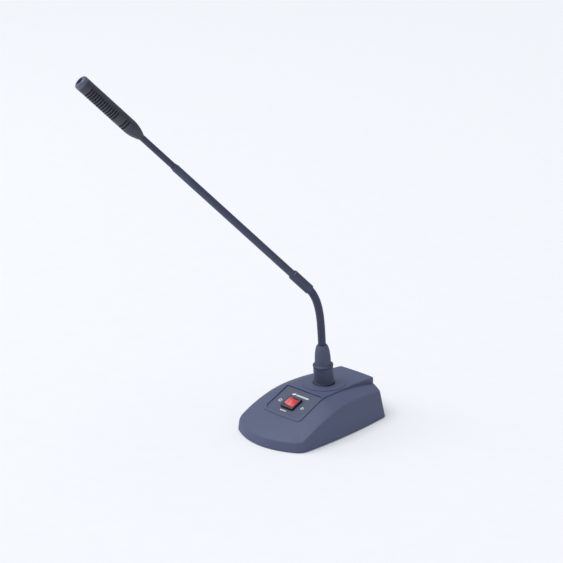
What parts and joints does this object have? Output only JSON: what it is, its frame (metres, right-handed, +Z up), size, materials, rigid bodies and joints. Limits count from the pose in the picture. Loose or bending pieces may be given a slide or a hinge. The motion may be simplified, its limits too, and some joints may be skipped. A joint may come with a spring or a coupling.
{
  "type": "gooseneck podium microphone",
  "caption": "Desk-stand gooseneck microphone: weighted wedge base with a rocker switch, plug-in flexible neck and a slim slotted capsule.",
  "frame": {"origin": "on the table in the middle plane of the base, midway between its four feet", "axes": "+Z up, +X to the right, -Y to the front, where the switch panel faces"},
  "size_m": [0.1437, 0.2591, 0.3443],
  "materials": {
    "housing": "matte",
    "panel": "matte",
    "marks": "matte",
    "switch_body": "gloss",
    "rocker": "gloss",
    "contact_metal": "satin",
    "steel": "polished",
    "board": "satin",
    "board_parts": "satin",
    "plate": "matte",
    "ballast": "satin",
    "rubber": "matte",
    "insulator": "matte",
    "nickel": "satin",
    "barrel": "satin",
    "leads": "matte",
    "plug_paint": "matte",
    "boot": "matte",
    "flex": "matte",
    "neck_paint": "satin",
    "cable": "matte",
    "capsule_paint": "satin",
    "nose_paint": "satin",
    "mesh": "matte",
    "element": "satin"
  },
  "bodies": {
    "base": {"base_housing": "housing", "deck_disc": "housing", "panel_plate": "panel", "panel_marks": "marks", "switch_housing": "switch_body", "switch_contacts": "contact_metal", "circuit_board": "board", "board_parts": "board_parts", "board_screws": "steel", "bottom_plate": "plate", "ballast_weights": "ballast", "plate_screws": "steel", "rubber_feet": "rubber", "output_shell": "nickel", "output_insert": "insulator", "output_pins": "nickel", "output_screws": "steel", "socket_barrel": "barrel", "socket_nut": "nickel", "socket_insert": "insulator", "socket_contacts": "contact_metal", "wire_harness": "leads"},
    "rocker": {"switch_rocker": "rocker"},
    "lever": {"switch_lever": "contact_metal"},
    "plug": {"plug_shell": "plug_paint", "plug_insert": "insulator", "plug_pins": "nickel", "plug_chuck": "insulator", "plug_boot": "boot", "lower_flex_root": "flex"},
    "lower_1": {"lower_link_1": "flex"},
    "lower_2": {"lower_link_2": "flex"},
    "lower_3": {"lower_link_3": "flex"},
    "lower_4": {"lower_link_4": "flex"},
    "lower_5": {"lower_link_5": "flex"},
    "lower_6": {"lower_link_6": "flex"},
    "lower_7": {"lower_link_7": "flex"},
    "stem": {"lower_flex_end": "flex", "lower_ferrule": "neck_paint", "stem_tube": "neck_paint", "stem_cable": "cable", "upper_ferrule": "neck_paint", "upper_flex_root": "flex"},
    "upper_1": {"upper_link_1": "flex"},
    "upper_2": {"upper_link_2": "flex"},
    "upper_3": {"upper_link_3": "flex"},
    "upper_4": {"upper_link_4": "flex"},
    "upper_5": {"upper_link_5": "flex"},
    "capsule": {"upper_flex_end": "flex", "capsule_tail": "capsule_paint", "capsule_housing": "capsule_paint", "nose_ring": "nose_paint", "front_mesh": "mesh", "slot_screen": "mesh", "mic_element": "element", "element_holder": "insulator", "tail_board": "board"}
  },
  "joints": [
    {"name": "rocker_hinge", "type": "hinge", "parent": "base", "child": "rocker", "pos_m": [0, -0.02729, 0.02772], "axis": [0, 0.9278, 0.373], "range_deg": [-20, 0]},
    {"name": "lever_hinge", "type": "hinge", "parent": "base", "child": "lever", "pos_m": [0, -0.02424, 0.02011], "axis": [0, 0.9278, 0.373], "range_deg": [0, 18]},
    {"name": "plug_slide", "type": "slide", "parent": "base", "child": "plug", "axis": [0, -0.0785, 0.9969], "range_m": [0, 0.02]},
    {"name": "lower_bend_1", "type": "hinge", "parent": "plug", "child": "lower_1", "pos_m": [0, 0.01343, 0.07877], "axis": [0.887, -0.4603, -0.0362], "range_deg": [-30, 10]},
    {"name": "lower_sway_1", "type": "hinge", "parent": "lower_1", "child": "lower_2", "pos_m": [-0.00001, 0.01281, 0.08634], "axis": [0.4617, 0.8831, 0.0831], "range_deg": [-15, 15]},
    {"name": "lower_bend_2", "type": "hinge", "parent": "lower_2", "child": "lower_3", "pos_m": [-0.00006, 0.01213, 0.09391], "axis": [0.887, -0.4603, -0.0362], "range_deg": [-30, 10]},
    {"name": "lower_sway_2", "type": "hinge", "parent": "lower_3", "child": "lower_4", "pos_m": [-0.0002, 0.01126, 0.10146], "axis": [0.4598, 0.8734, 0.1607], "range_deg": [-15, 15]},
    {"name": "lower_bend_3", "type": "hinge", "parent": "lower_4", "child": "lower_5", "pos_m": [-0.00052, 0.01005, 0.10896], "axis": [0.887, -0.4603, -0.0362], "range_deg": [-30, 10]},
    {"name": "lower_sway_3", "type": "hinge", "parent": "lower_5", "child": "lower_6", "pos_m": [-0.00113, 0.00829, 0.11632], "axis": [0.4411, 0.8215, 0.3613], "range_deg": [-15, 15]},
    {"name": "lower_bend_4", "type": "hinge", "parent": "lower_6", "child": "lower_7", "pos_m": [-0.00217, 0.00573, 0.12341], "axis": [0.887, -0.4603, -0.0362], "range_deg": [-30, 10]},
    {"name": "lower_sway_4", "type": "hinge", "parent": "lower_7", "child": "stem", "pos_m": [-0.00378, 0.00212, 0.1299], "axis": [0.3501, 0.6192, 0.7029], "range_deg": [-15, 15]},
    {"name": "upper_bend_1", "type": "hinge", "parent": "stem", "child": "upper_1", "pos_m": [-0.06039, -0.11747, 0.26346], "axis": [0.887, -0.4603, -0.0362], "range_deg": [-18, 18]},
    {"name": "upper_sway_1", "type": "hinge", "parent": "upper_1", "child": "upper_2", "pos_m": [-0.06237, -0.12166, 0.26815], "axis": [0.3501, 0.6192, 0.7029], "range_deg": [-18, 18]},
    {"name": "upper_bend_2", "type": "hinge", "parent": "upper_2", "child": "upper_3", "pos_m": [-0.06436, -0.12586, 0.27284], "axis": [0.887, -0.4603, -0.0362], "range_deg": [-18, 18]},
    {"name": "upper_sway_2", "type": "hinge", "parent": "upper_3", "child": "upper_4", "pos_m": [-0.06635, -0.13006, 0.27752], "axis": [0.3501, 0.6192, 0.7029], "range_deg": [-18, 18]},
    {"name": "upper_bend_3", "type": "hinge", "parent": "upper_4", "child": "upper_5", "pos_m": [-0.06833, -0.13426, 0.28221], "axis": [0.887, -0.4603, -0.0362], "range_deg": [-18, 18]},
    {"name": "upper_sway_3", "type": "hinge", "parent": "upper_5", "child": "capsule", "pos_m": [-0.07032, -0.13846, 0.2869], "axis": [0.3501, 0.6192, 0.7029], "range_deg": [-18, 18]}
  ],
  "couplings": [
    {"joint": "lever_hinge", "follows": "rocker_hinge", "ratio": -0.9},
    {"joint": "lower_bend_2", "follows": "lower_bend_1", "ratio": 1},
    {"joint": "lower_sway_2", "follows": "lower_sway_1", "ratio": 1},
    {"joint": "lower_bend_3", "follows": "lower_bend_1", "ratio": 1},
    {"joint": "lower_sway_3", "follows": "lower_sway_1", "ratio": 1},
    {"joint": "lower_bend_4", "follows": "lower_bend_1", "ratio": 1},
    {"joint": "lower_sway_4", "follows": "lower_sway_1", "ratio": 1},
    {"joint": "upper_bend_2", "follows": "upper_bend_1", "ratio": 1},
    {"joint": "upper_sway_2", "follows": "upper_sway_1", "ratio": 1},
    {"joint": "upper_bend_3", "follows": "upper_bend_1", "ratio": 1},
    {"joint": "upper_sway_3", "follows": "upper_sway_1", "ratio": 1}
  ]
}
